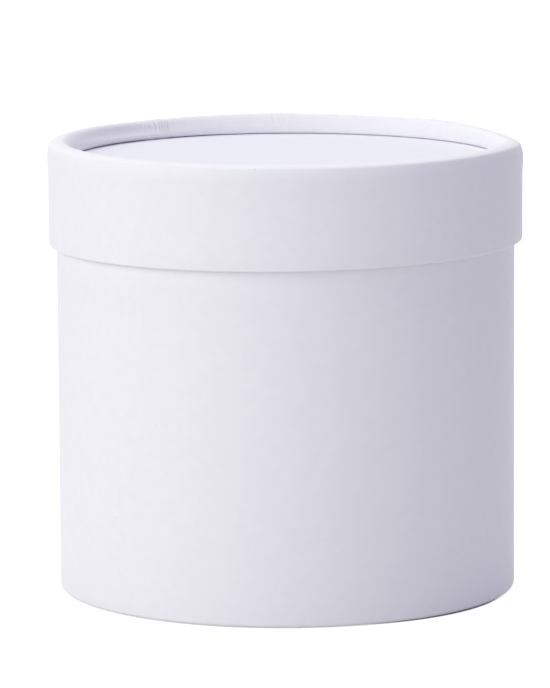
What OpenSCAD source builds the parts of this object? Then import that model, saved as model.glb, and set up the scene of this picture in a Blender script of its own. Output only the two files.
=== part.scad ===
// Round paperboard gift box: a wrapped board tube with a flat base, and a slip-over lid
// whose top edge is rolled inwards round a recessed disc. Millimetres, +Z up.
// The origin is the centre of the under side. The photographed front faces -Y.

/* [Body] */
// Outside diameter of the body, over its paper
body_d = 150; // [90:1:240]
// Height of the body without its lid, from the table to its top edge
body_h = 139; // [80:1:260]
// Thickness of the board tube that makes the body's wall
body_board = 2; // [1.2:0.1:3]
// Thickness of the board disc that closes the bottom
base_board = 2; // [1:0.1:4]
// Radius of the rounded lower edge of the body
foot_round = 1.4; // [0.8:0.1:2]
// Radius of the paper's folds over the body's top edge
brim_round = 0.8; // [0.4:0.1:1]

/* [Lid] */
// How far the lid's wall hangs down over the body
lid_overlap = 24.5; // [14:0.5:50]
// Thickness of the wound board band that makes the lid's wall and roll
lid_board = 1.4; // [1:0.1:1.8]
// Thickness of the board disc in the lid
disc_board = 2; // [1:0.1:3]
// Radius of the paper's folds round the lid's lower edge
hem_round = 0.7; // [0.3:0.1:0.8]
// Room all round between the body's seam and the lid's lining
lid_clearance = 0.3; // [0.2:0.05:0.8]

/* [Rolled rim] */
// Height of the roll's crest above the recessed disc
roll_h = 6.6; // [5.5:0.1:9]
// Width of the roll, from the wall's widest point to the innermost point
roll_w = 7.95; // [7:0.05:12]
// Width of the roll's crown, from the crest outwards to the corner
crown_w = 3.45; // [2:0.05:4]
// How steeply the crown falls where it meets the corner, in degrees
crown_fall = 18; // [8:1:30]
// Radius of the corner between the crown and the roll's outer side
corner_round = 1.2; // [0.6:0.1:1.8]
// How far the outer side leans inwards where it meets the corner, in degrees
side_lean = 20; // [8:1:30]
// Height of the leaning side, from the wall's widest point to the corner
side_h = 3.6; // [2.4:0.1:4.2]
// How far the wall swells outwards under the roll
roll_swell = 0.25; // [0:0.05:0.8]
// Height of wall over which it swells
swell_h = 7.5; // [1:0.5:8]
// Width of the part of the roll that curls under, over the disc
tuck_w = 2.3; // [2.2:0.1:3]
// Height of the part of the roll that curls under
tuck_h = 2.6; // [2.4:0.1:3]
// Crevice between the roll and the disc
roll_gap = 0.1; // [0.05:0.05:0.8]

/* [Paper] */
// Thickness of the white outer paper
wrap_t = 0.2; // [0.1:0.05:0.3]
// Thickness of the white lining paper
liner_t = 0.15; // [0.1:0.05:0.25]
// Thickness of the glue film between two glued faces
glue_t = 0.05; // [0.02:0.01:0.08]
// Width of outer paper that is folded in over the body's top edge
brim_fold = 15; // [6:1:30]
// Width of outer paper that is folded under the base
foot_fold = 15; // [10:1:30]
// Width of outer paper that is folded in at the lid's lower edge
hem_fold = 12; // [6:1:20]
// Width of the lap in the upright seams
seam_lap = 10; // [4:1:20]
// Direction of the body's seam, counted from +X towards +Y
body_seam_angle = 84; // [0:1:359]
// Direction of the lid's seam, counted from +X towards +Y
lid_seam_angle = 122; // [0:1:359]
// How far the linings stop short of the open edges
liner_margin = 3; // [1:0.5:5]
// How far the base sheet stops short of the wall's outside
sheet_margin = 3; // [2.2:0.1:6]
// Width of the slope where a glued paper steps over an edge beneath it
paper_step = 1; // [0.5:0.1:2]

/* [Hidden] */
$fn = 180;
arc_steps = 8;
round_steps = 12;
wrap_colour = [0.95, 0.95, 0.97];
liner_colour = [0.97, 0.97, 0.96];
board_colour = [0.64, 0.60, 0.54];

// Radii of the body, from the outside in
body_r = body_d / 2;
skin = wrap_t + glue_t;
body_board_r = body_r - skin;
body_bore_r = body_board_r - body_board;
body_fold_r = body_bore_r - skin;
foot_r = min(foot_round, body_board);
// The folded-under paper lies on the base sheet
foot_z = wrap_t;
floor_z = foot_z + skin + base_board;
fold_end_r = body_r - foot_fold;
// A seam's upper layer is rooted this deep in the layer beneath it
lap_root = wrap_t / 2;

// Radii of the lid, from the inside out
lid_bore_r = body_r + wrap_t + lid_clearance + liner_t + glue_t + skin;
lid_r = lid_bore_r + lid_board + skin;
lid_fold_r = lid_bore_r - skin;
hem_z = body_h - lid_overlap;

// Heights and radii of the disc and the roll
disc_z = body_h + liner_t;
cover_z = disc_z + disc_board;
panel_z = cover_z + wrap_t;
disc_r = lid_bore_r - glue_t;
widest_r = lid_r + roll_swell;
roll_in_r = widest_r - roll_w;
crest_z = panel_z + roll_h;
tuck_z = panel_z + roll_gap;
roll_in_z = tuck_z + tuck_h;

// The roll's outer face is three arcs that run smoothly into each other: crown, corner and side
crown_bow = crown_w / sin(crown_fall);
side_bow = side_h / sin(side_lean);
corner_in = side_bow * (1 - cos(side_lean)) + corner_round * cos(side_lean);
crest_in = corner_in - corner_round * sin(crown_fall) + crown_w;
corner_drop = crown_bow * (1 - cos(crown_fall)) + corner_round * cos(crown_fall);
shoulder_h = corner_drop - corner_round * sin(side_lean) + side_h;
crest_r = widest_r - crest_in;
swell_z = crest_z - shoulder_h;

function reversed(list) = [for (i = [len(list) - 1 : -1 : 0]) list[i]];

// Points of an elliptical arc about centre c with half widths a and b
function bow(c, a, b, from, to, steps) =
    [for (i = [0 : steps])
        let (t = from + (to - from) * i / steps)
        [c[0] + a * cos(t), c[1] + b * sin(t)]];

function fillet(c, r, from, to) = bow(c, r, r, from, to, arc_steps);

// A list without its first point, which the line before it has already reached
function onward(list) = [for (i = [1 : len(list) - 1]) list[i]];

// Section lines at a depth s under the paper's outer face.
// Body: up the outside from the foot, and over the top edge to the inside.
function foot_line(s) =
    fillet([body_r - foot_r, foot_z + foot_r], foot_r - s, -90, 0);
function brim_line(s) = concat(
    fillet([body_r - brim_round, body_h - brim_round], brim_round - s, 0, 90),
    fillet([body_fold_r + brim_round, body_h - brim_round], brim_round - s, 90, 180));

// Lid: round the lower edge from the inside to the outside
function hem_line(s) = concat(
    fillet([lid_fold_r + hem_round, hem_z + hem_round], hem_round - s, 180, 270),
    fillet([lid_r - hem_round, hem_z + hem_round], hem_round - s, 270, 360));

// Lid: the gentle swell of the wall up to its widest point
function swell_line(s) =
    [for (i = [0 : arc_steps])
        let (t = i / arc_steps)
        [lid_r - s + roll_swell * (1 - cos(180 * t)) / 2, swell_z - swell_h * (1 - t)]];

// Lid: from the crest down the inside of the roll to its innermost point
function throat_line(s) =
    onward(bow([crest_r, roll_in_z], crest_r - roll_in_r - s, crest_z - roll_in_z - s,
               90, 180, round_steps));

// Lid: from there under the roll and back outwards over the disc, to the cut edge
function tuck_line(s) =
    onward(bow([roll_in_r + tuck_w, roll_in_z], tuck_w - s, tuck_h - s, 180, 270, arc_steps));

// Lid: the swell, then the roll's side, corner, crown and throat
function roll_line(s) = concat(
    swell_line(s),
    onward(fillet([widest_r - side_bow, swell_z], side_bow - s, 0, side_lean)),
    onward(fillet([widest_r - corner_in, crest_z - corner_drop], corner_round - s,
                  side_lean, 90 - crown_fall)),
    onward(fillet([crest_r, crest_z - crown_bow], crown_bow - s, 90 - crown_fall, 90)),
    throat_line(s));

// Lid: the hollow inside the roll, at a depth s where it is closest to the outer face
function hollow_line(s) = concat(
    swell_line(s),
    onward(bow([crest_r, swell_z], crest_in - s, shoulder_h - s, 0, 90, round_steps)),
    throat_line(s),
    tuck_line(s));

// A second layer of paper over part of the turn, where a sheet laps over its own start
module lap(seam_angle, radius) {
    lap_angle = seam_lap / radius * 180 / PI;
    rotate([0, 0, seam_angle - lap_angle / 2])
        rotate_extrude(angle = lap_angle)
            children();
}

module disc(r, z, t) {
    translate([0, 0, z])
        cylinder(r = r, h = t);
}

// Lining paper of a wall: it steps over the folded-in paper near the open edge
module stepped_lining(bore_r, fold_z, end_z, other_z) {
    side = end_z > other_z ? 1 : -1;
    back_r = bore_r - glue_t;
    step_z = fold_z - side * paper_step;
    rotate_extrude()
        polygon([
            [back_r, other_z],
            [back_r, step_z],
            [back_r - skin, fold_z],
            [back_r - skin, end_z],
            [back_r - skin - liner_t, end_z],
            [back_r - skin - liner_t, fold_z],
            [back_r - liner_t, step_z],
            [back_r - liner_t, other_z]]);
}

module body_tube() {
    color(board_colour)
        rotate_extrude()
            polygon(concat(
                foot_line(skin),
                brim_line(skin),
                [[body_bore_r, foot_z + skin]]));
}

module body_wrap() {
    color(wrap_colour) {
        rotate_extrude()
            polygon(concat(
                [[fold_end_r, foot_z]],
                foot_line(0),
                brim_line(0),
                [[body_fold_r, body_h - brim_fold]],
                [[body_fold_r + wrap_t, body_h - brim_fold]],
                reversed(brim_line(wrap_t)),
                reversed(foot_line(wrap_t)),
                [[fold_end_r, foot_z + wrap_t]]));
        lap(body_seam_angle, body_r)
            translate([body_r - lap_root, foot_z + foot_r])
                square([lap_root + wrap_t, body_h - brim_round - foot_z - foot_r]);
    }
}

module body_liner() {
    color(liner_colour)
        stepped_lining(body_bore_r, body_h - brim_fold, body_h - liner_margin, floor_z);
}

module base_disc() {
    color(board_colour)
        disc(body_bore_r - glue_t, foot_z + skin, base_board);
}

module base_lining() {
    color(liner_colour)
        disc(body_bore_r - glue_t - liner_t - glue_t, floor_z, liner_t);
}

module base_sheet() {
    sheet_r = body_r - sheet_margin;
    dip_r = fold_end_r - paper_step / 2;
    color(wrap_colour)
        rotate_extrude()
            polygon([
                [0, skin],
                [dip_r - paper_step, skin],
                [dip_r, 0],
                [sheet_r, 0],
                [sheet_r, wrap_t],
                [dip_r, wrap_t],
                [dip_r - paper_step, wrap_t + skin],
                [0, wrap_t + skin]]);
}

module lid_band() {
    color(board_colour)
        rotate_extrude()
            polygon(concat(
                hem_line(skin),
                roll_line(skin),
                tuck_line(skin),
                reversed(hollow_line(skin + lid_board))));
}

module lid_wrap() {
    color(wrap_colour) {
        rotate_extrude()
            polygon(concat(
                [[lid_fold_r, hem_z + hem_fold]],
                hem_line(0),
                roll_line(0),
                tuck_line(0),
                reversed(tuck_line(wrap_t)),
                reversed(roll_line(wrap_t)),
                reversed(hem_line(wrap_t)),
                [[lid_fold_r + wrap_t, hem_z + hem_fold]]));
        lap(lid_seam_angle, lid_r)
            polygon(concat(
                [[lid_r + wrap_t, hem_z + hem_round]],
                roll_line(-wrap_t),
                reversed(roll_line(lap_root)),
                [[lid_r - lap_root, hem_z + hem_round]]));
    }
}

module lid_liner() {
    color(liner_colour)
        stepped_lining(lid_bore_r, hem_z + hem_fold, hem_z + liner_margin, body_h);
}

module lid_disc() {
    color(board_colour)
        disc(disc_r, disc_z, disc_board);
}

module lid_disc_cover() {
    color(wrap_colour)
        disc(disc_r, cover_z, wrap_t);
}

module lid_disc_lining() {
    color(liner_colour)
        disc(disc_r, body_h, liner_t);
}

body_tube();
body_wrap();
body_liner();
base_disc();
base_lining();
base_sheet();
lid_band();
lid_wrap();
lid_liner();
lid_disc();
lid_disc_cover();
lid_disc_lining();
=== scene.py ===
# %% [markdown]
# Round gift box with a rolled rim
# This lesson dresses a round paper-covered gift box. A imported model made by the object's maker is the
# frame: it holds every board and paper at its real size. We leave the four boards as they are and
# roll each sheet of paper again in finer detail, because paper is all that anyone sees of such a box.

# %% load the frame
import math

import bmesh
import bpy
from mathutils import Matrix, Vector


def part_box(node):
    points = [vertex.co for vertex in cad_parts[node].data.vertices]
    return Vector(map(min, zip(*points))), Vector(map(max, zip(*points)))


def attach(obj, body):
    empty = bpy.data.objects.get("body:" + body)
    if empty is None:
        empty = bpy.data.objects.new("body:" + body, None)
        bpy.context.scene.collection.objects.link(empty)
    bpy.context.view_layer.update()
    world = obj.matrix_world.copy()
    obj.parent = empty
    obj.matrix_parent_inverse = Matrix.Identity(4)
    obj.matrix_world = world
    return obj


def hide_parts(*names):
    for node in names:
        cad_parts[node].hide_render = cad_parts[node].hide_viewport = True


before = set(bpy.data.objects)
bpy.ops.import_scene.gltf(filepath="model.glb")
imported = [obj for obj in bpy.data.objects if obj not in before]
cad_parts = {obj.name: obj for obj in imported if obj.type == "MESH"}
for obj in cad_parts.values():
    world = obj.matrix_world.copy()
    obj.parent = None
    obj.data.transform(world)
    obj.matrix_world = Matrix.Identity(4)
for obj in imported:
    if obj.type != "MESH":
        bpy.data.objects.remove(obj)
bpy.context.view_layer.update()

mm = 0.001

# %% [markdown]
# Sizes
# The frame tells us where each sheet lies, so most sizes are read from its nodes. Only the thicknesses
# and the bends of the paper are written here, in the same sizes as the maker used.

# %% read the sizes from the frame
body_low, body_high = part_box("body_wrap")
lid_low, lid_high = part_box("lid_wrap")
band_low, band_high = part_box("lid_band")

paper = 0.2 * mm
lining = 0.15 * mm
glue = 0.05 * mm
skin = paper + glue

body_radius = body_high[0]
body_foot = body_low[2]
body_top = body_high[2]
brim_bend = 0.8 * mm
foot_bend = 1.4 * mm
body_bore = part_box("body_liner")[1][0] + glue
body_fold = body_bore - skin
foot_fold_end = body_radius - 15 * mm
brim_fold_end = body_top - 15 * mm

roll_swell = 0.25 * mm
lid_widest = lid_high[0]
lid_radius = lid_widest - roll_swell
lid_hem = lid_low[2]
hem_bend = 0.5 * mm
lid_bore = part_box("lid_liner")[1][0] + glue
lid_fold = lid_bore - skin
hem_fold_end = lid_hem + 12 * mm

panel_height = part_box("lid_disc_cover")[1][2]
crest_height = band_high[2] + skin
roll_inner = lid_widest - 8.15 * mm
tuck_height = panel_height + 0.05 * mm
tuck_rise = 1.1 * mm
tuck_in = 1.0 * mm
roll_low = tuck_height + tuck_rise

crown_width = 3.45 * mm
crown_fall = math.radians(18)
corner_bend = 1.2 * mm
side_lean = math.radians(20)
side_rise = 3.6 * mm
swell_rise = 7.5 * mm
crown_bend = crown_width / math.sin(crown_fall)
side_bend = side_rise / math.sin(side_lean)
corner_radius = lid_widest - side_bend * (1 - math.cos(side_lean)) - corner_bend * math.cos(side_lean)
crest_radius = corner_radius + corner_bend * math.sin(crown_fall) - crown_width
corner_height = crest_height - crown_bend * (1 - math.cos(crown_fall)) - corner_bend * math.cos(crown_fall)
swell_height = corner_height + corner_bend * math.sin(side_lean) - side_rise
liner_margin = 3 * mm
seam_lap = 10 * mm
body_seam = math.radians(84)
lid_seam = math.radians(128.4)
print("body radius and top, mm:", round(body_radius / mm, 2), round(body_top / mm, 2))
print("lid radius, hem and crest, mm:", [round(v / mm, 2) for v in (lid_radius, lid_hem, crest_height)])

# %% [markdown]
# Nodes in few words
# Geometry and shader trees are both built from nodes and links. One helper adds a node, sets its
# options, and fills its inputs with numbers or with other nodes' outputs. A second one does arithmetic.

# %% helpers for node trees
def add(tree, kind, inputs=(), **options):
    node = tree.nodes.new(kind)
    node.location = (180 * (len(tree.nodes) % 12), -220 * (len(tree.nodes) // 12))
    for option, value in options.items():
        setattr(node, option, value)
    for socket, value in dict(inputs).items():
        if isinstance(value, bpy.types.NodeSocket):
            tree.links.new(value, node.inputs[socket])
        else:
            node.inputs[socket].default_value = value
    return node


def calculate(tree, operation, *values):
    node = add(tree, "ShaderNodeMath", dict(enumerate(values)), operation=operation)
    return node.outputs[0]


def ease(tree, value, low, high, to_low=0.0, to_high=1.0):
    inputs = {"Value": value, "From Min": low, "From Max": high, "To Min": to_low, "To Max": to_high}
    node = add(tree, "ShaderNodeMapRange", inputs, interpolation_type="SMOOTHSTEP")
    return node.outputs["Result"]


# %% [markdown]
# A section line
# Each sheet is thin and follows a bent line, seen in section: over the foot, up the wall, over the brim.
# We write that line once, for the face that shows, as spots that know their place, the way that they
# face, how far pleats reach them, how much of the seam's lap they show and how far the sheet may wave.

# %% spots of a section line
class Spot:
    def __init__(self, radius, height, out_radius, out_height, reach=0.0, lap=1.0, wave=0.0):
        size = math.hypot(out_radius, out_height)
        self.radius = radius
        self.height = height
        self.out_radius = out_radius / size
        self.out_height = out_height / size
        self.reach = reach
        self.lap = lap
        self.wave = wave

    def sunk(self, depth):
        radius = self.radius - depth * self.out_radius
        height = self.height - depth * self.out_height
        return Spot(radius, height, self.out_radius, self.out_height, 0.0, self.lap, self.wave)


def bend(centre, across, up, start, stop, steps, **marks):
    spots = []
    for step in range(steps + 1):
        turn = math.radians(start + (stop - start) * step / steps)
        radius = centre[0] + across * math.cos(turn)
        height = centre[1] + up * math.sin(turn)
        spots.append(Spot(radius, height, math.cos(turn) / across, math.sin(turn) / up, **marks))
    return spots


def straight(start, stop, facing, steps, **marks):
    spots = []
    for step in range(steps + 1):
        share = step / steps
        radius = start[0] + (stop[0] - start[0]) * share
        height = start[1] + (stop[1] - start[1]) * share
        spots.append(Spot(radius, height, facing[0], facing[1], **marks))
    return spots


def without_doubles(spots):
    kept = [spots[0]]
    for spot in spots[1:]:
        if math.hypot(spot.radius - kept[-1].radius, spot.height - kept[-1].height) > 0.01 * mm:
            kept.append(spot)
    return kept


# %% [markdown]
# From line to section
# A sheet of paper is closed: it has a face, a back and two cut edges. The face carries the detail, so
# it keeps every spot, while the back is never seen and keeps only every third one. The section becomes
# a ring of edges in the XZ plane, and the marks on its spots become attributes.

# %% make a section
def section_object(name, face, thickness):
    face = without_doubles(face)
    last = len(face) - 1
    back = [spot.sunk(thickness) for i, spot in enumerate(face) if i % 3 == 0 or i == last]
    runs = [0.0]
    for i in range(1, len(face)):
        step = math.hypot(face[i].radius - face[i - 1].radius, face[i].height - face[i - 1].height)
        runs.append(runs[-1] + step)
    back_runs = [runs[i] for i in range(len(face)) if i % 3 == 0 or i == last]
    spots = face + back[::-1]
    runs = runs + back_runs[::-1]
    points = [(spot.radius, 0.0, spot.height) for spot in spots]
    edges = [(i, (i + 1) % len(points)) for i in range(len(points))]
    mesh = bpy.data.meshes.new(name)
    mesh.from_pydata(points, edges, [])
    outward = mesh.attributes.new("outward", "FLOAT_VECTOR", "POINT")
    outward.data.foreach_set("vector", [v for s in spots for v in (s.out_radius, 0.0, s.out_height)])
    marks = {
        "reach": [spot.reach for spot in spots],
        "lap": [spot.lap for spot in spots],
        "wave": [spot.wave for spot in spots],
        "run": runs,
    }
    for mark, values in marks.items():
        mesh.attributes.new(mark, "FLOAT", "POINT").data.foreach_set("value", values)
    section = bpy.data.objects.new(name, mesh)
    bpy.context.collection.objects.link(section)
    print(name, "section:", len(face), "spots on the face,", len(back), "on the back")
    return section


# %% [markdown]
# Rolling a sheet
# A box maker rolls the paper once round the tube and glues its end over its start. Geometry Nodes can
# do the same by rule: sweep the section along a line, then bend that line round the axis. Past one full
# turn the sheet climbs onto its own start, so the seam is a real step. Pleats are ridges across the
# turn, crowded in a few bunches, and slow waves keep the wall from looking machined.

# %% start the tree and its inputs
rolling = bpy.data.node_groups.new("rolled sheet", "GeometryNodeTree")
rolling.is_modifier = True
rolling_inputs = {
    "Section": ("NodeSocketGeometry", None),
    "Columns": ("NodeSocketInt", 720),
    "Crowding": ("NodeSocketFloat", 1.0),
    "Start": ("NodeSocketFloat", 0.0),
    "Sweep": ("NodeSocketFloat", math.tau),
    "Lapped": ("NodeSocketBool", True),
    "Layer": ("NodeSocketFloat", paper),
    "Climb": ("NodeSocketFloat", 0.03),
    "Radius": ("NodeSocketFloat", body_radius),
    "Pleat height": ("NodeSocketFloat", 0.1 * mm),
    "Pleat pitch": ("NodeSocketFloat", 1.3 * mm),
    "Bunch 1": ("NodeSocketFloat", 0.0),
    "Bunch 2": ("NodeSocketFloat", 0.0),
    "Bunch 2 share": ("NodeSocketFloat", 1.0),
    "Bunch spread": ("NodeSocketFloat", 0.1),
    "Strays": ("NodeSocketFloat", 0.2),
    "Wave height": ("NodeSocketFloat", 0.03 * mm),
    "Wave length": ("NodeSocketFloat", 40 * mm),
    "Seed": ("NodeSocketFloat", 1.0),
    "Material": ("NodeSocketMaterial", None),
}
for socket_name, (socket_kind, usual) in rolling_inputs.items():
    socket = rolling.interface.new_socket(name=socket_name, in_out="INPUT", socket_type=socket_kind)
    if usual is not None:
        socket.default_value = usual
rolling.interface.new_socket(name="Sheet", in_out="OUTPUT", socket_type="NodeSocketGeometry")
given = add(rolling, "NodeGroupInput").outputs
print("rolled sheet takes", len(rolling_inputs), "inputs")

# %% sweep the section along a line
section_curve = add(rolling, "GeometryNodeMeshToCurve", {"Mesh": given["Section"]})
spot_place = add(rolling, "GeometryNodeCaptureAttribute", {"Geometry": section_curve.outputs["Curve"]})
spot_place.capture_items.new("VECTOR", "Place")
rolling.links.new(add(rolling, "GeometryNodeInputPosition").outputs[0], spot_place.inputs["Place"])

line = add(rolling, "GeometryNodeCurvePrimitiveLine", {"End": (0.0, 0.0, 1.0)})
rail = add(rolling, "GeometryNodeResampleCurve", {"Curve": line.outputs["Curve"], "Count": given["Columns"]})
rail_share = add(rolling, "GeometryNodeCaptureAttribute", {"Geometry": rail.outputs["Curve"]})
rail_share.capture_items.new("FLOAT", "Share")
rolling.links.new(add(rolling, "GeometryNodeSplineParameter").outputs["Factor"], rail_share.inputs["Share"])

swept = add(rolling, "GeometryNodeCurveToMesh", {
    "Curve": rail_share.outputs["Geometry"],
    "Profile Curve": spot_place.outputs["Geometry"],
    "Fill Caps": given["Lapped"],
})

# %% find each point's turn, place and way out
def mark_of(name, kind="FLOAT"):
    node = add(rolling, "GeometryNodeInputNamedAttribute", {"Name": name}, data_type=kind)
    return node.outputs["Attribute"]


def times(a, b):
    return calculate(rolling, "MULTIPLY", a, b)


def plus(a, b):
    return calculate(rolling, "ADD", a, b)


def less(a, b):
    return calculate(rolling, "SUBTRACT", a, b)


left_over = calculate(rolling, "POWER", less(1.0, rail_share.outputs["Share"]), given["Crowding"])
turned = times(less(1.0, left_over), given["Sweep"])
angle = plus(turned, given["Start"])
cosine = calculate(rolling, "COSINE", angle)
sine = calculate(rolling, "SINE", angle)
place = add(rolling, "ShaderNodeSeparateXYZ", {0: spot_place.outputs["Place"]}).outputs
outward = add(rolling, "ShaderNodeSeparateXYZ", {0: mark_of("outward", "FLOAT_VECTOR")}).outputs
round_place = add(rolling, "ShaderNodeCombineXYZ", {
    "X": times(place["X"], cosine),
    "Y": times(place["X"], sine),
    "Z": place["Z"],
}).outputs[0]
way_out = add(rolling, "ShaderNodeCombineXYZ", {
    "X": times(outward["X"], cosine),
    "Y": times(outward["X"], sine),
    "Z": outward["Z"],
}).outputs[0]

# %% climb onto the sheet's own start
climb_from = less(math.tau, given["Climb"])
climb = times(ease(rolling, turned, climb_from, math.tau), given["Layer"])
lap_lift = times(times(climb, mark_of("lap")), given["Lapped"])

# %% pleats in bunches
along = times(turned, given["Radius"])
wander_spot = add(rolling, "ShaderNodeCombineXYZ", {"X": along, "Y": mark_of("run"), "Z": given["Seed"]})
wander = add(rolling, "ShaderNodeTexNoise", {
    "Vector": wander_spot.outputs[0], "Scale": 260.0, "Detail": 1.0,
}).outputs[0]
pleat_along = plus(plus(along, times(mark_of("run"), 0.25)), times(wander, 1.2 * mm))
pleat_count = plus(calculate(rolling, "DIVIDE", pleat_along, given["Pleat pitch"]), given["Seed"])
pleat_cells = add(rolling, "ShaderNodeTexVoronoi", {"W": pleat_count, "Scale": 1.0},
                  voronoi_dimensions="1D", feature="F1")
ridge = ease(rolling, pleat_cells.outputs["Distance"], 0.1, 0.5, 1.0, 0.0)
tone = add(rolling, "ShaderNodeSeparateXYZ", {0: pleat_cells.outputs["Color"]}).outputs["X"]
ridge = times(ridge, plus(times(tone, 0.75), 0.25))


def bunch(centre):
    distance = calculate(rolling, "ABSOLUTE", less(angle, centre))
    return ease(rolling, distance, 0.0, given["Bunch spread"], 1.0, 0.0)


stray_spot = add(rolling, "ShaderNodeCombineXYZ", {"X": times(along, 45.0), "Z": given["Seed"]})
stray_noise = add(rolling, "ShaderNodeTexNoise", {"Vector": stray_spot.outputs[0], "Scale": 1.0})
strays = times(ease(rolling, stray_noise.outputs[0], 0.42, 0.62), given["Strays"])
second = times(bunch(given["Bunch 2"]), given["Bunch 2 share"])
crowd = calculate(rolling, "MAXIMUM", bunch(given["Bunch 1"]), second)
crowd = calculate(rolling, "MAXIMUM", crowd, strays)
pleats = times(times(times(ridge, crowd), mark_of("reach")), given["Pleat height"])

# %% slow waves of the wall, always inwards
wave_scale = calculate(rolling, "DIVIDE", 1.0, given["Wave length"])
wave_shift = add(rolling, "ShaderNodeCombineXYZ", {"X": given["Seed"], "Y": given["Seed"]})
wave_place = add(rolling, "ShaderNodeVectorMath", {0: round_place, 1: wave_shift.outputs[0]})
wave_noise = add(rolling, "ShaderNodeTexNoise", {
    "Vector": wave_place.outputs[0], "Scale": wave_scale, "Detail": 1.5,
}).outputs[0]
waves = times(times(wave_noise, mark_of("wave")), given["Wave height"])

# %% place the points, unroll a map and finish the tree
lift = less(plus(lap_lift, pleats), waves)
lifted = add(rolling, "ShaderNodeVectorMath", {0: way_out, "Scale": lift}, operation="SCALE")
rolled = add(rolling, "GeometryNodeSetPosition", {
    "Geometry": swept.outputs["Mesh"],
    "Position": round_place,
    "Offset": lifted.outputs[0],
})
flat_place = add(rolling, "ShaderNodeCombineXYZ", {"X": along, "Y": mark_of("run")})
mapped = add(rolling, "GeometryNodeStoreNamedAttribute", {
    "Geometry": rolled.outputs["Geometry"],
    "Name": "UVMap",
    "Value": flat_place.outputs[0],
}, data_type="FLOAT2", domain="CORNER")
turned_out = add(rolling, "GeometryNodeFlipFaces", {"Mesh": mapped.outputs[0]})
joined = add(rolling, "GeometryNodeMergeByDistance", {"Geometry": turned_out.outputs[0], "Distance": 1e-6})
smooth = add(rolling, "GeometryNodeSetShadeSmooth", {"Geometry": joined.outputs[0]})
edge_angle = add(rolling, "GeometryNodeInputMeshEdgeAngle").outputs["Unsigned Angle"]
sharp_edge = add(rolling, "FunctionNodeCompare", {"A": edge_angle, "B": math.radians(40)},
                 data_type="FLOAT", operation="GREATER_THAN")
creased = add(rolling, "GeometryNodeSetShadeSmooth", {
    "Geometry": smooth.outputs[0],
    "Selection": sharp_edge.outputs[0],
    "Shade Smooth": False,
}, domain="EDGE")
real = add(rolling, "GeometryNodeRealizeInstances", {"Geometry": creased.outputs[0]})
painted = add(rolling, "GeometryNodeSetMaterial", {"Geometry": real.outputs[0], "Material": given["Material"]})
add(rolling, "NodeGroupOutput", {"Sheet": painted.outputs[0]})
print("rolled sheet has", len(rolling.nodes), "nodes")

# %% [markdown]
# From tree to plain mesh
# The tree hangs on the section as a modifier. Its inputs are set by their identifiers, the result is
# read from the evaluated object, and the section with its modifier is thrown away. The enclosed volume
# is a good test: it is above nought only when every face points outwards.

# %% roll a sheet and keep its mesh
def enclosed(mesh):
    mesh.calc_loop_triangles()
    total = 0.0
    for triangle in mesh.loop_triangles:
        a, b, c = (mesh.vertices[i].co for i in triangle.vertices)
        total += a.dot(b.cross(c)) / 6
    return total


def roll(name, face, thickness, body, slot, **settings):
    section = section_object(name + "_section", face, thickness)
    modifier = section.modifiers.new("roll", "NODES")
    modifier.node_group = rolling
    identifiers = {
        item.name: item.identifier for item in rolling.interface.items_tree if item.in_out == "INPUT"
    }
    for setting, value in settings.items():
        modifier[identifiers[setting.replace("_", " ")]] = value
    section.update_tag()
    evaluated = section.evaluated_get(bpy.context.evaluated_depsgraph_get())
    mesh = bpy.data.meshes.new_from_object(evaluated)
    mesh.name = name
    for mark in ("outward", "reach", "lap", "wave", "run"):
        if mark in mesh.attributes:
            mesh.attributes.remove(mesh.attributes[mark])
    bpy.data.objects.remove(section)
    sheet = bpy.data.objects.new(name, mesh)
    bpy.context.collection.objects.link(sheet)
    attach(sheet, body)
    triangles = sum(len(polygon.vertices) - 2 for polygon in mesh.polygons)
    print(name, "triangles:", triangles, "volume, mm3:", round(enclosed(mesh) / mm ** 3, 1))
    return sheet


# %% [markdown]
# Paper in three shares
# Paper isn't one white. It has a cloudy formation where the pulp lies thicker, a fine tooth, and a
# speck of bark or dust every few centimetres. One function makes them all, and each paper of the box
# asks for its own shares: the wrap is smooth and satin, the lining is matt and rougher.

# %% make a paper
def cloud(tree, place, size, detail=3.0, warp=0.0):
    return add(tree, "ShaderNodeTexNoise", {
        "Vector": place, "Scale": 1.0 / size, "Detail": detail, "Distortion": warp,
    }).outputs[0]


def tint(tree, share, colour_a, colour_b):
    node = add(tree, "ShaderNodeMix", {0: share}, data_type="RGBA")
    for socket, colour in ((6, colour_a), (7, colour_b)):
        if isinstance(colour, bpy.types.NodeSocket):
            tree.links.new(colour, node.inputs[socket])
        else:
            node.inputs[socket].default_value = (*colour, 1.0)
    return node.outputs[2]


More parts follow.
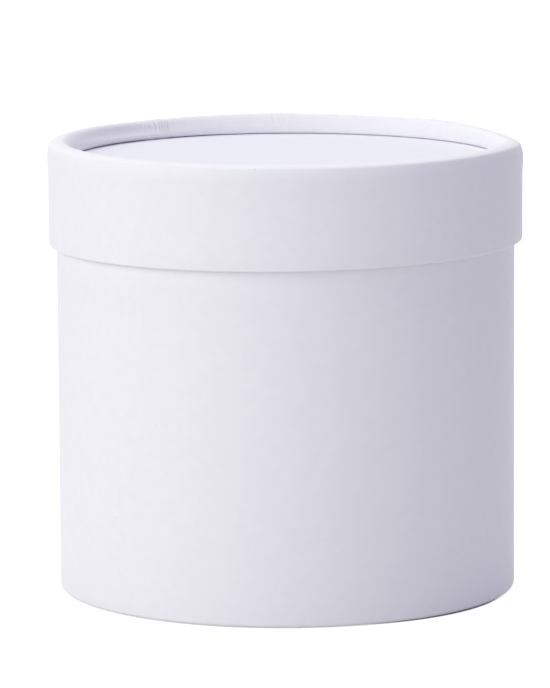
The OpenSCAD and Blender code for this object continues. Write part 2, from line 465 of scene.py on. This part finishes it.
def paper_material(name, colour, shade, roughness, tooth, felt, specks):
    material = bpy.data.materials.new(name)
    material.use_nodes = True
    material.diffuse_color = (*colour, 1.0)
    tree = material.node_tree
    tree.nodes.clear()
    places = add(tree, "ShaderNodeTexCoord").outputs
    formation = cloud(tree, places["Object"], 3.5 * mm, 4.0)
    grain = cloud(tree, places["Object"], 0.55 * mm, 2.0)
    fibre = cloud(tree, places["Object"], 1.6 * mm, 2.0, 2.2)

    pale = tint(tree, ease(tree, formation, 0.32, 0.68), shade, colour)
    pale = tint(tree, ease(tree, fibre, 0.52, 0.62, 0.0, 0.35), pale, shade)
    cells = add(tree, "ShaderNodeTexVoronoi", {"Vector": places["UV"], "Scale": 1 / (17 * mm)},
                voronoi_dimensions="2D", feature="F1")
    chance = add(tree, "ShaderNodeSeparateXYZ", {0: cells.outputs["Color"]}).outputs
    speck_size = calculate(tree, "MULTIPLY", chance["Y"], 0.014)
    speck = ease(tree, cells.outputs["Distance"], calculate(tree, "MULTIPLY", speck_size, 0.6),
                 speck_size, 1.0, 0.0)
    chosen = calculate(tree, "LESS_THAN", chance["X"], specks)
    speck = calculate(tree, "MULTIPLY", calculate(tree, "MULTIPLY", speck, chosen), 0.75)
    speckled = tint(tree, speck, pale, (0.33, 0.29, 0.27))

    fine = add(tree, "ShaderNodeBump", {"Height": grain, "Distance": tooth, "Strength": 1.0})
    slow = add(tree, "ShaderNodeBump", {
        "Height": cloud(tree, places["Object"], 3.2 * mm, 2.0),
        "Distance": felt, "Strength": 1.0, "Normal": fine.outputs[0],
    })
    rough = ease(tree, formation, 0.3, 0.7, roughness - 0.03, roughness + 0.04)
    shader = add(tree, "ShaderNodeBsdfPrincipled", {
        "Base Color": speckled,
        "Roughness": rough,
        "Normal": slow.outputs[0],
        "Specular IOR Level": 0.04,
    })
    add(tree, "ShaderNodeOutputMaterial", {"Surface": shader.outputs[0]})
    print(name, "has", len(tree.nodes), "nodes")
    return material


white_wrap = paper_material(
    "white_wrap", (0.900, 0.891, 0.926), (0.884, 0.874, 0.912), 0.46, 0.012 * mm, 0.03 * mm, 0.07)
# The panel is covered with the wrap's own paper. This copy of it has a darker, bluer colour, which is painted
# shade and painted blue light on the up-facing panel.
panel_paper = paper_material(
    "panel_paper", (0.862, 0.858, 0.923), (0.852, 0.848, 0.913), 0.46, 0.012 * mm, 0.03 * mm, 0.03)
white_lining = paper_material(
    "white_lining", (0.87, 0.865, 0.85), (0.83, 0.825, 0.805), 0.78, 0.03 * mm, 0.05 * mm, 0.2)

# %% [markdown]
# The body's wrap
# One strip of satin paper goes round the tube. Its lower margin is folded under the foot, its upper one
# over the brim and down inside, where the smaller circle crowds it into little upright pleats.

# %% roll the body's wrap
wall_steps = 20
under = straight((foot_fold_end, body_foot), (body_radius - 4.5 * mm, body_foot), (0, -1), 2, lap=0.0)
under_edge = straight((body_radius - 2.6 * mm, body_foot), (body_radius - foot_bend, body_foot), (0, -1),
                      2, reach=0.5, lap=0.5)
foot = bend((body_radius - foot_bend, body_foot + foot_bend), foot_bend, foot_bend, -90, 0, 8)
wall = straight((body_radius, body_foot + foot_bend), (body_radius, body_top - brim_bend), (1, 0),
                wall_steps)
for i, spot in enumerate(wall):
    spot.wave = math.sin(math.pi * i / wall_steps) ** 0.5
brim = bend((body_radius - brim_bend, body_top - brim_bend), brim_bend, brim_bend, 0, 90, 7)
brim += bend((body_fold + brim_bend, body_top - brim_bend), brim_bend, brim_bend, 90, 180, 7, reach=0.7)
inside = straight((body_fold, body_top - 1.4 * mm), (body_fold, body_top - 2.6 * mm), (-1, 0), 1, reach=1.0)
inside += straight((body_fold, body_top - 4 * mm), (body_fold, brim_fold_end), (-1, 0), 2, lap=0.0)

body_wrap = roll(
    "body_wrap_paper", under + under_edge + foot + wall + brim + inside, paper, "box_body", "white_wrap",
    Columns=900,
    Start=body_seam - seam_lap / body_radius / 2,
    Sweep=math.tau + seam_lap / body_radius,
    Radius=body_radius,
    Pleat_height=0.12 * mm,
    Pleat_pitch=2.6 * mm,
    Bunch_1=body_seam + 2.2,
    Bunch_2=body_seam + 4.9,
    Bunch_spread=0.7,
    Strays=0.7,
    Wave_height=0.04 * mm,
    Wave_length=46 * mm,
    Seed=3.0,
    Material=white_wrap,
)
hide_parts("body_wrap")

# %% [markdown]
# The lid's wrap
# The same paper goes round the lid's band, but its upper margin is carried over a thick roll and tucked
# back over the round panel. The roll's inner side is a smaller circle than its outer side, so the
# spare paper gathers there in fine pleats. They are the box's one handmade mark and get the most columns.

# %% roll the lid's wrap
hem = straight((lid_fold, hem_fold_end), (lid_fold, lid_hem + 4.5 * mm), (-1, 0), 2, lap=0.0)
hem += straight((lid_fold, lid_hem + 2.7 * mm), (lid_fold, lid_hem + 1.3 * mm), (-1, 0), 1, reach=0.8)
hem += bend((lid_fold + hem_bend, lid_hem + hem_bend), hem_bend, hem_bend, 180, 270, 4, reach=0.3)
hem += bend((lid_radius - hem_bend, lid_hem + hem_bend), hem_bend, hem_bend, 270, 360, 4)
swell_start = swell_height - swell_rise
band_wall = straight((lid_radius, lid_hem + hem_bend), (lid_radius, swell_start), (1, 0), 4)
for i, spot in enumerate(band_wall):
    spot.wave = math.sin(math.pi * i / 4) ** 0.5
swell = []
for step in range(5):
    share = step / 4
    radius = lid_radius + roll_swell * (1 - math.cos(math.pi * share)) / 2
    slope = roll_swell * math.pi * math.sin(math.pi * share) / 2 / swell_rise
    swell.append(Spot(radius, swell_start + swell_rise * share, 1.0, -slope))
lean_end = math.degrees(side_lean)
crown_start = 90 - math.degrees(crown_fall)
shoulder = bend((lid_widest - side_bend, swell_height), side_bend, side_bend, 0, lean_end, 3, lap=0.6)
shoulder += bend((corner_radius, corner_height), corner_bend, corner_bend, lean_end, crown_start, 6, lap=0.6)
shoulder += bend((crest_radius, crest_height - crown_bend), crown_bend, crown_bend, crown_start, 90, 4, lap=0.6)
shoulder[-1].reach = 0.35
throat = bend((crest_radius, roll_low), crest_radius - roll_inner, crest_height - roll_low, 90, 180, 9, lap=0.6)
for i, spot in enumerate(throat):
    spot.reach = min(0.35 + 0.22 * i, 1.0, 1.6 - 0.15 * i)
tuck = bend((roll_inner + tuck_in, roll_low), tuck_in, tuck_rise, 180, 270, 7, lap=0.3)
for i, spot in enumerate(tuck):
    spot.reach = 0.25 - 0.035 * i

lid_wrap = roll(
    "lid_wrap_paper", hem + band_wall + swell + shoulder + throat + tuck, paper, "lid", "white_wrap",
    Columns=1400,
    Start=lid_seam - seam_lap / lid_radius / 2,
    Sweep=math.tau + seam_lap / lid_radius,
    Crowding=1.6,
    Climb=0.009,
    Radius=lid_radius,
    Pleat_height=0.62 * mm,
    Pleat_pitch=1.2 * mm,
    Bunch_1=math.radians(360 + 127.5),
    Bunch_2=math.radians(360 + 91.5),
    Bunch_2_share=0.3,
    Bunch_spread=math.radians(8),
    Strays=0.14,
    Wave_height=0.04 * mm,
    Wave_length=42 * mm,
    Seed=7.0,
    Material=white_wrap,
)
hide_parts("lid_wrap")

# %% [markdown]
# A roll made by hand
# A turned rim would be the same all the way round. This one was pressed down by hand, and the
# photograph shows it lower and rounder towards its right end, and standing a little off the panel at
# the back left. The hem isn't cut quite true either. One gentle rule moves the points of the papers,
# and of a copy of the board between them, so the board can't come through the paper.

# %% press the roll down
presses = (
    # centre and half width in degrees round the axis, and how far the crest goes down
    (13, 38, 1.45 * mm),
    (64, 24, 0.27 * mm),
    (96, 16, -0.15 * mm),
    (130, 22, 0.28 * mm),
)
lifts = (
    # the same, for how far the roll's inner edge stands up off the panel
    (148, 50, 0.5 * mm),
    (104, 40, 0.3 * mm),
)
hem_lean = 0.6 * mm
hem_raise = 0.15 * mm
pull_in = 0.2
pinch_side = 140
pinch_width = 34
pinch_most = 0.9 * mm
belly_share = 0.8
throat_depth = crest_height - roll_low


def swelling(away):
    return math.cos(away * math.pi / 2) ** 2 if abs(away) < 1 else 0.0


def around(side, places):
    moves = [most * swelling(((side - centre + 180) % 360 - 180) / half) for centre, half, most in places]
    return sum(moves)


def smooth(value, low, high):
    share = min(1.0, max(0.0, (value - low) / (high - low)))
    return share * share * (3 - 2 * share)


def press_roll(mesh):
    moved = 0
    for vertex in mesh.vertices:
        x, y, height = vertex.co
        side = math.degrees(math.atan2(y, x)) % 360
        if height < panel_height:
            loose = 1 - smooth(height, lid_hem, panel_height)
            vertex.co.z = height + loose * (hem_raise + hem_lean * math.cos(math.radians(side)))
            continue
        raised = smooth(height, panel_height, corner_height)
        depth = around(side, presses)
        radius = math.hypot(x, y)
        inwards = pull_in * depth * raised * smooth(radius, crest_radius, lid_widest)
        inner = 1 - smooth(radius, crest_radius - 0.3 * mm, crest_radius + 1.2 * mm)
        pinch = pinch_most * swelling((side - pinch_side) / pinch_width)
        fall = (crest_height - height) / throat_depth
        pinch *= swelling((fall - 0.5) / 0.45) - belly_share * swelling((fall - 1.0) / 0.3)
        inwards -= pinch * inner
        lift = around(side, lifts) * inner * smooth(fall, 0.5, 1.0)
        lift *= smooth(height, tuck_height - 0.3 * mm, tuck_height + 0.5 * mm)
        vertex.co = (x * (1 - inwards / radius), y * (1 - inwards / radius), height - depth * raised + lift)
        moved += 1
    mesh.update()
    print(mesh.name, "points pressed:", moved)


press_roll(lid_wrap.data)
band_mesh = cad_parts["lid_band"].data.copy()
band_mesh.name = "lid_band_board"
band_shape = bmesh.new()
band_shape.from_mesh(band_mesh)
bmesh.ops.remove_doubles(band_shape, verts=band_shape.verts, dist=0.001 * mm)
band_shape.to_mesh(band_mesh)
band_shape.free()
press_roll(band_mesh)
lid_board = bpy.data.objects.new("lid_band_board", band_mesh)
bpy.context.collection.objects.link(lid_board)
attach(lid_board, "lid")
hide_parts("lid_band")

# %% [markdown]
# The linings of the two walls
# Inside, a matt strip hides the folded-in margins and stops a few millimetres short of the open edge.
# It steps over the end of the margin beneath it, which shows inside a real box as a faint line.

# %% roll the wall linings
def lining_face(bore, fold_end, open_end, closed_end):
    side = 1 if open_end > closed_end else -1
    front = bore - glue - lining
    step_end = fold_end - side * 1.0 * mm
    face = straight((front, closed_end), (front, step_end), (-1, 0), 6)
    face += straight((front - skin, fold_end), (front - skin, open_end), (-1, 0), 3)
    for i, spot in enumerate(face):
        spot.wave = 0.6 * math.sin(math.pi * i / (len(face) - 1))
    return face if side < 0 else face[::-1]


floor_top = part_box("base_disc")[1][2]
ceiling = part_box("lid_disc_lining")[0][2]
body_liner = roll(
    "body_liner_paper", lining_face(body_bore, brim_fold_end, body_top - liner_margin, floor_top),
    lining, "box_body", "white_lining",
    Columns=540, Start=math.radians(200), Sweep=math.tau + 8 * mm / body_bore,
    Layer=lining, Radius=body_bore, Pleat_height=0.0, Wave_height=0.03 * mm, Seed=11.0,
    Material=white_lining,
)
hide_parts("body_liner")
lid_liner = roll(
    "lid_liner_paper", lining_face(lid_bore, hem_fold_end, lid_hem + liner_margin, ceiling),
    lining, "lid", "white_lining",
    Columns=540, Start=math.radians(250), Sweep=math.tau + 8 * mm / lid_bore,
    Layer=lining, Radius=lid_bore, Pleat_height=0.0, Wave_height=0.03 * mm, Seed=13.0,
    Material=white_lining,
)
press_roll(lid_liner.data)
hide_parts("lid_liner")

# %% [markdown]
# The round sheets
# Four discs of paper cover the boards. The same tree makes them: the section runs from the axis to the
# rim, and the sweep is exactly one turn, so the ends meet and are merged instead of lapped. The base
# sheet lies on the folded-under margin, and its outer ring rests on the table.

# %% roll the discs
def disc_face(radius, height, up, rings=14, wave=1.0):
    facing = (0, 1) if up else (0, -1)
    face = straight((0.0, height), (radius, height), facing, rings)
    for i, spot in enumerate(face):
        spot.wave = wave * math.sin(math.pi * i / rings) ** 0.5
    return face[::-1] if up else face


def roll_disc(name, node, face, thickness, body, slot, material, **settings):
    sheet = roll(name, face, thickness, body, slot, Columns=361, Start=0.0, Sweep=math.tau, Lapped=False,
                 Radius=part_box(node)[1][0], Material=material, **settings)
    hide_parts(node)
    return sheet


panel_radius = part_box("lid_disc_cover")[1][0]
# The panel paper's darker, bluer colour is painted shade and painted blue light.
roll_disc("lid_panel_paper", "lid_disc_cover", disc_face(panel_radius, panel_height, True), paper,
          "lid", "panel_paper", panel_paper, Pleat_height=0.0, Wave_height=0.05 * mm, Seed=17.0)
lining_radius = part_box("base_lining")[1][0]
roll_disc("floor_lining_paper", "base_lining", disc_face(lining_radius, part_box("base_lining")[1][2], True),
          lining, "box_body", "white_lining", white_lining, Pleat_height=0.0, Wave_height=0.04 * mm,
          Seed=19.0)
roll_disc("ceiling_lining_paper", "lid_disc_lining",
          disc_face(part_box("lid_disc_lining")[1][0], ceiling, False), lining, "lid", "white_lining",
          white_lining, Pleat_height=0.0, Wave_height=0.04 * mm, Seed=23.0)

# %% [markdown]
# The base sheet
# This disc steps down where it passes over the folded-under margin.

# %% roll the base sheet
base_low, base_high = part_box("base_sheet")
dip_radius = foot_fold_end - 0.5 * mm
base_face = straight((0.0, base_low[2] + skin), (dip_radius - 1 * mm, base_low[2] + skin), (0, -1), 6,
                     wave=0.5)
base_face += straight((dip_radius, base_low[2]), (base_high[0], base_low[2]), (0, -1), 6)
base_sheet = roll_disc("base_sheet_paper", "base_sheet", base_face, paper, "box_body", "white_wrap",
                       white_wrap, Pleat_height=0.0, Wave_height=0.03 * mm, Seed=29.0)

# %% [markdown]
# Greyboard
# The four boards are pressed from recycled pulp. They are hidden while the papers are whole, but a
# model that is taken apart shows them: brown-grey, matt, with dark and pale flecks and soft layers.

# %% make the greyboard
greyboard = bpy.data.materials.new("greyboard")
greyboard.use_nodes = True
board_tree = greyboard.node_tree
board_tree.nodes.clear()
board_place = add(board_tree, "ShaderNodeTexCoord").outputs["Object"]
pulp = cloud(board_tree, board_place, 5 * mm, 5.0)
flecks = cloud(board_tree, board_place, 0.9 * mm, 2.0, 3.0)
board_colour = tint(board_tree, ease(board_tree, pulp, 0.3, 0.7), (0.40, 0.36, 0.30), (0.50, 0.46, 0.40))
board_colour = tint(board_tree, ease(board_tree, flecks, 0.62, 0.70, 0.0, 0.7), board_colour,
                    (0.20, 0.18, 0.16))
board_colour = tint(board_tree, ease(board_tree, flecks, 0.36, 0.28, 0.0, 0.6), board_colour,
                    (0.70, 0.67, 0.60))
board_bump = add(board_tree, "ShaderNodeBump", {"Height": flecks, "Distance": 0.06 * mm, "Strength": 1.0})
board_shader = add(board_tree, "ShaderNodeBsdfPrincipled", {
    "Base Color": board_colour, "Roughness": 0.9, "Normal": board_bump.outputs[0],
})
add(board_tree, "ShaderNodeOutputMaterial", {"Surface": board_shader.outputs[0]})
boards = [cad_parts[node_name] for node_name in ("body_tube", "base_disc", "lid_disc")]
for board in boards + [lid_board]:
    for material_slot in board.material_slots:
        material_slot.material = greyboard
print("greyboard on four boards")

# %% [markdown]
# The floor
# The photograph's ground is pure white with hardly a shadow. The floor is a plain pale sheet that
# glows a little for camera and mirror rays only. Where nothing shades it, it comes out white, and close
# to the foot the object's own shadow takes it down.

# %% lay the floor
floor_mesh = bpy.data.meshes.new("floor")
reach = 9.0
floor_level = -0.05 * mm
floor_mesh.from_pydata(
    [(-reach, -reach, floor_level), (reach, -reach, floor_level), (reach, reach, floor_level),
     (-reach, reach, floor_level)], [], [(0, 1, 2, 3)])
floor = bpy.data.objects.new("floor", floor_mesh)
bpy.context.collection.objects.link(floor)
floor_material = bpy.data.materials.new("pale floor")
floor_material.use_nodes = True
floor_tree = floor_material.node_tree
floor_tree.nodes.clear()
rays = add(floor_tree, "ShaderNodeLightPath").outputs
seen = calculate(floor_tree, "MAXIMUM", rays["Is Camera Ray"], rays["Is Glossy Ray"])
seen = calculate(floor_tree, "MAXIMUM", seen, rays["Is Transmission Ray"])
floor_shader = add(floor_tree, "ShaderNodeBsdfDiffuse", {"Color": (0.8, 0.8, 0.8, 1.0)})
floor_place = add(floor_tree, "ShaderNodeSeparateXYZ", {0: add(floor_tree, "ShaderNodeNewGeometry").outputs["Position"]})
across = calculate(floor_tree, "SUBTRACT", floor_place.outputs["X"], 11.3 * mm)
along_depth = calculate(floor_tree, "ADD", floor_place.outputs["Y"], 9.8 * mm)
square_x = calculate(floor_tree, "POWER", across, 2.0)
square_y = calculate(floor_tree, "POWER", along_depth, 2.0)
from_axis = calculate(floor_tree, "SQRT", calculate(floor_tree, "ADD", square_x, square_y))
outside = ease(floor_tree, from_axis, 59.4 * mm, 60.4 * mm)
glow_power = calculate(floor_tree, "MULTIPLY", calculate(floor_tree, "MULTIPLY", seen, outside), 0.66)
glow = add(floor_tree, "ShaderNodeEmission", {"Strength": glow_power})
both = add(floor_tree, "ShaderNodeAddShader", {0: floor_shader.outputs[0], 1: glow.outputs[0]})
under_side = add(floor_tree, "ShaderNodeNewGeometry").outputs["Backfacing"]
clear = add(floor_tree, "ShaderNodeBsdfTransparent")
one_sided = add(floor_tree, "ShaderNodeMixShader", {0: under_side, 1: both.outputs[0], 2: clear.outputs[0]})
add(floor_tree, "ShaderNodeOutputMaterial", {"Surface": one_sided.outputs[0]})
floor.data.materials.append(floor_material)

# %% [markdown]
# The light
# A large soft window stands at the front left, above the box. Everything else is a pale room with a
# hint of blue, which fills the right side. Camera and mirror rays see the room as plain white.

# %% light the box
world = bpy.data.worlds.new("pale room")
bpy.context.scene.world = world
world.use_nodes = True
world_tree = world.node_tree
world_tree.nodes.clear()
world_rays = add(world_tree, "ShaderNodeLightPath").outputs
world_seen = calculate(world_tree, "MAXIMUM", world_rays["Is Camera Ray"], world_rays["Is Glossy Ray"])
world_seen = calculate(world_tree, "MAXIMUM", world_seen, world_rays["Is Transmission Ray"])
room = tint(world_tree, world_seen, (0.42, 0.402, 0.508), (1.0, 1.0, 1.0))
room_light = add(world_tree, "ShaderNodeBackground", {"Color": room, "Strength": 1.0})
add(world_tree, "ShaderNodeOutputWorld", {"Surface": room_light.outputs[0]})


def soft_lamp(name, side, height, watts, colour):
    lamp = bpy.data.lights.new(name, "AREA")
    lamp.shape = "DISK"
    lamp.size = 1.4
    lamp.energy = watts
    lamp.color = colour
    holder = bpy.data.objects.new(name, lamp)
    across = math.radians(side)
    above = math.radians(height)
    aim = Vector((0.0, 0.0, 0.08))
    way = Vector((math.sin(across) * math.cos(above), -math.cos(across) * math.cos(above), math.sin(above)))
    holder.location = aim + 2.6 * way
    holder.rotation_euler = (-way).to_track_quat("-Z", "Y").to_euler()
    bpy.context.collection.objects.link(holder)
    return holder


lamp_colour = (0.965, 1.0, 0.87)
soft_lamp("window", -60, 30, 17.6, lamp_colour)
soft_lamp("low front", -35, 12, 12.4, lamp_colour)
soft_lamp("high back", 180, 50, 13.8, lamp_colour)
soft_lamp("above", 0, 89.9, 16.7, lamp_colour)
bpy.context.scene.view_settings.view_transform = "Standard"

# %% [markdown]
# The camera
# The photograph was taken from a little above with a long lens, so the rim's oval is flat and the walls
# hardly converge. The place, tilt and focal length below were fitted to the edges in the photograph.

# %% set up the camera
camera_data = bpy.data.cameras.new("camera")
camera_data.sensor_width = 36.0
camera_data.lens = 275.04
camera_data.clip_start = 0.05
camera_data.clip_end = 60.0
camera = bpy.data.objects.new("camera", camera_data)
bpy.context.collection.objects.link(camera)
pitch = math.radians(8.8369)
yaw = math.radians(-0.1225)
lean = math.radians(-0.3217)
forward = Vector((math.sin(yaw) * math.cos(pitch), math.cos(yaw) * math.cos(pitch), -math.sin(pitch)))
level_right = forward.cross(Vector((0, 0, 1))).normalized()
level_up = level_right.cross(forward)
right = math.cos(lean) * level_right + math.sin(lean) * level_up
up = -math.sin(lean) * level_right + math.cos(lean) * level_up
axes = Matrix((right, up, -forward)).transposed().to_4x4()
camera.matrix_world = Matrix.Translation((0.0, -1.7074, 0.3453)) @ axes
bpy.context.scene.camera = camera
